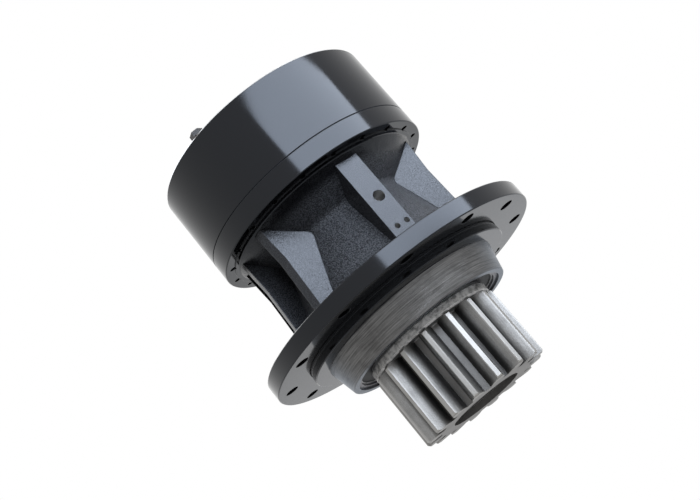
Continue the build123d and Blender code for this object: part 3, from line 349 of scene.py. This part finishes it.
def grained_steel(f, low, high, rough, marks):
    """Bare steel with marks of the tool, grit, smudges and lighter edges, worn and with painted
    highlight: colour and roughness.
    """
    edge = f.round_edges(0.0005)
    smudge = f.noise(35.0, 4.0)
    grit = f.noise(900.0, 3.0, 0.6)
    surface = marks * 0.4 + grit * 0.6
    f.bump(surface, 0.16, 0.0003)
    color = f.blend(surface.step(0.3, 0.7), low, high)
    color = f.blend(smudge.step(0.45, 0.7) * 0.4, color, times(0.6, low))
    # Lighter edges: wear and painted highlight
    color = f.blend(edge * 0.7, color, times(1.6, high))
    return color, rough + marks * 0.06 + grit * 0.08 + smudge * 0.06


def drawn_marks(f):
    """Marks that run along the shaft."""
    return f.noise(500.0, 4.0, 0.65, place=f.at(f.x, f.y, f.z * 0.04))


def turned_marks(f):
    return f.noise(500.0, 4.0, 0.65, place=f.turned())


def bare_steel(name, low, high, rough, marks):
    f = Finish(name)
    color, rough = grained_steel(f, low, high, rough, marks(f))
    return f.finish(color, rough, 1.0)


def pinion_steel():
    """Output shaft: painted shade in the tooth roots, painted highlight on the tips, and a light rough
    skin above them.
    """
    f = Finish("pinion_steel")
    high = (0.27, 0.265, 0.255)
    color, rough = grained_steel(f, (0.165, 0.162, 0.156), high, 0.33, drawn_marks(f))
    teeth = 1 - f.z.past(shoulder_foot - 0.0015, 0.0005)
    root_shade = teeth * (1 - f.radius.past(tooth_root, 0.00725))
    tip_highlight = teeth * f.radius.past(tooth_tip, 0.0006)
    skin = f.z.past(shoulder_foot - 0.0005, 0.0005) * f.noise(150.0, 5.0, 0.7).step(0.35, 0.6)
    # Painted shade: the tooth roots darker
    color = f.blend(root_shade * 0.72, color, (0.045, 0.044, 0.043))
    # Painted highlight: the tooth tips lighter
    color = f.blend(tip_highlight * 0.5, color, times(1.4, high))
    color = f.blend(skin, color, times(1.9, high))
    return f.finish(color, rough + skin * 0.2, 1.0)


def plain_finish(name, low, high, rough, metallic=1.0, scale=300.0):
    f = Finish(name)
    marks = f.noise(scale, 4.0, 0.6)
    f.bump(marks, 0.1, 0.0002)
    return f.finish(f.blend(marks, low, high), rough + marks * 0.1, metallic)


# The finish of each material slot, and of the nodes that depart from their slot
finishes = {
    "casing": black_cast_paint(),
    "housing": black_drum_paint(),
    "forging": pinion_steel(),
    "turned_steel": bare_steel("turned_steel", (0.28, 0.28, 0.28), (0.42, 0.42, 0.42), 0.32,
                               turned_marks),
    "gear_steel": bare_steel("gear_steel", (0.26, 0.26, 0.27), (0.42, 0.42, 0.43), 0.30, drawn_marks),
    "hard_sleeve": bare_steel("hard_sleeve", (0.45, 0.45, 0.45), (0.6, 0.6, 0.6), 0.2, turned_marks),
    "ground_steel": bare_steel("ground_steel", (0.5, 0.5, 0.51), (0.62, 0.62, 0.63), 0.18,
                               turned_marks),
    "spring_steel": plain_finish("spring_steel", (0.10, 0.10, 0.11), (0.18, 0.18, 0.19), 0.35),
    "screws": plain_finish("blackened_screws", (0.03, 0.03, 0.032), (0.06, 0.06, 0.062), 0.38),
    "plug": plain_finish("black_plug", BLACK, (0.014, 0.014, 0.015), 0.2, 0.0, 900.0),
    "copper_washer": plain_finish("painted_washer", (0.012, 0.010, 0.009), (0.05, 0.03, 0.02), 0.3, 0.3),
    "seal_rubber": plain_finish("seal_rubber", (0.012, 0.012, 0.012), (0.03, 0.03, 0.03), 0.6, 0.0,
                                800.0),
    "carrier_iron": plain_finish("carrier_iron", (0.10, 0.10, 0.10), (0.2, 0.2, 0.2), 0.45, 1.0,
                                 200.0),
    "bronze": plain_finish("bronze", (0.36, 0.22, 0.08), (0.5, 0.34, 0.14), 0.35),
    "cage_brass": plain_finish("cage_brass", (0.42, 0.28, 0.09), (0.56, 0.40, 0.16), 0.3),
}
web_paint = black_web_paint()
node_finishes = {"neck_webs": web_paint, "port_rib": web_paint}
for subpart in record["subparts"]:
    piece = bpy.data.objects[subpart["node"]]
    piece.data.materials.clear()
    piece.data.materials.append(node_finishes.get(subpart["node"], finishes[subpart["material_slot"]]))


def photo_camera():
    """The camera that was fitted to the round edges of the photograph."""
    data = bpy.data.cameras.new("photo_camera")
    data.sensor_width = 36.0
    data.lens = 61.64
    camera = bpy.data.objects.new("photo_camera", data)
    scene.collection.objects.link(camera)
    camera.location = (-0.63747, -1.33649, -0.31582)
    camera.rotation_euler = tuple(math.radians(turn) for turn in (110.1168, 38.1615, -12.3365))
    scene.camera = camera


def pale_world():
    """White to the eye and in reflections and glass, dim as a light on the object."""
    world = bpy.data.worlds.new("pale_studio")
    world.use_nodes = True
    scene.world = world
    nodes = Nodes(world.node_tree)
    sky = world.node_tree.nodes["Background"]
    nodes.put(sky.inputs["Color"], WHITE)
    nodes.put(sky.inputs["Strength"], nodes.background_rays() * (1.0 - world_light) + world_light)


def soft_lamp(name, azimuth, elevation, distance, width, height, watts, color):
    """A soft box that faces the middle of the object, from degrees round and above it."""
    data = bpy.data.lights.new(name, "AREA")
    data.shape = "RECTANGLE"
    data.size = width
    data.size_y = height
    data.energy = watts
    data.color = color
    lamp = bpy.data.objects.new(name, data)
    scene.collection.objects.link(lamp)
    around, above = math.radians(azimuth), math.radians(elevation)
    way = Vector((math.cos(above) * math.cos(around), math.cos(above) * math.sin(around),
                  math.sin(above)))
    lamp.location = lit_centre + way * distance
    lamp.rotation_euler = way.to_track_quat("Z", "Y").to_euler()


def pale_floor():
    """Pale ground, in view and in reflections from above. It is clear from beneath, and in
    reflections right under the pinion, so that the end face shows the background too."""
    bpy.ops.object.select_all(action="DESELECT")
    bpy.ops.mesh.primitive_plane_add(size=floor_size, location=(0, 0, ground_level - floor_gap))
    ground = bpy.context.object
    ground.name = "studio_floor"
    f = Finish("pale_floor")
    above = 1 - f.node("ShaderNodeNewGeometry", output="Backfacing")
    meets = f.background_rays(mirrored=f.radius.past(0.13, 0.01))
    fade = 1 - f.radius.step(1.2, 2.8)
    glow = f.blend(meets, (0.0, 0.0, 0.0), (0.52, 0.52, 0.52))
    f.finish(f.blend(f.noise(2.0, 2.0), (0.40, 0.40, 0.40), (0.43, 0.43, 0.43)), 0.9,
             Emission_Color=glow, Emission_Strength=1.0)
    clear = f.node("ShaderNodeBsdfTransparent")
    surface = f.node("ShaderNodeMixShader", None,
                     {0: 1 - above * meets * fade, 1: f.shader.outputs[0], 2: clear})
    f.put(f.tree.nodes["Material Output"].inputs["Surface"], surface)
    ground.data.materials.append(f.material)


photo_camera()
pale_world()
soft_lamp("key_softbox", -72, 21, 2.0, 3.0, 0.8, 84.0, COOL_WHITE)
soft_lamp("back_softbox", 75, 46, 2.2, 1.6, 1.2, 14.0, NEAR_WHITE)
soft_lamp("top_softbox", -72, 88, 2.4, 1.6, 1.6, 10.0, NEAR_WHITE)
pale_floor()
scene.view_settings.view_transform = "Standard"

bpy.context.view_layer.update()
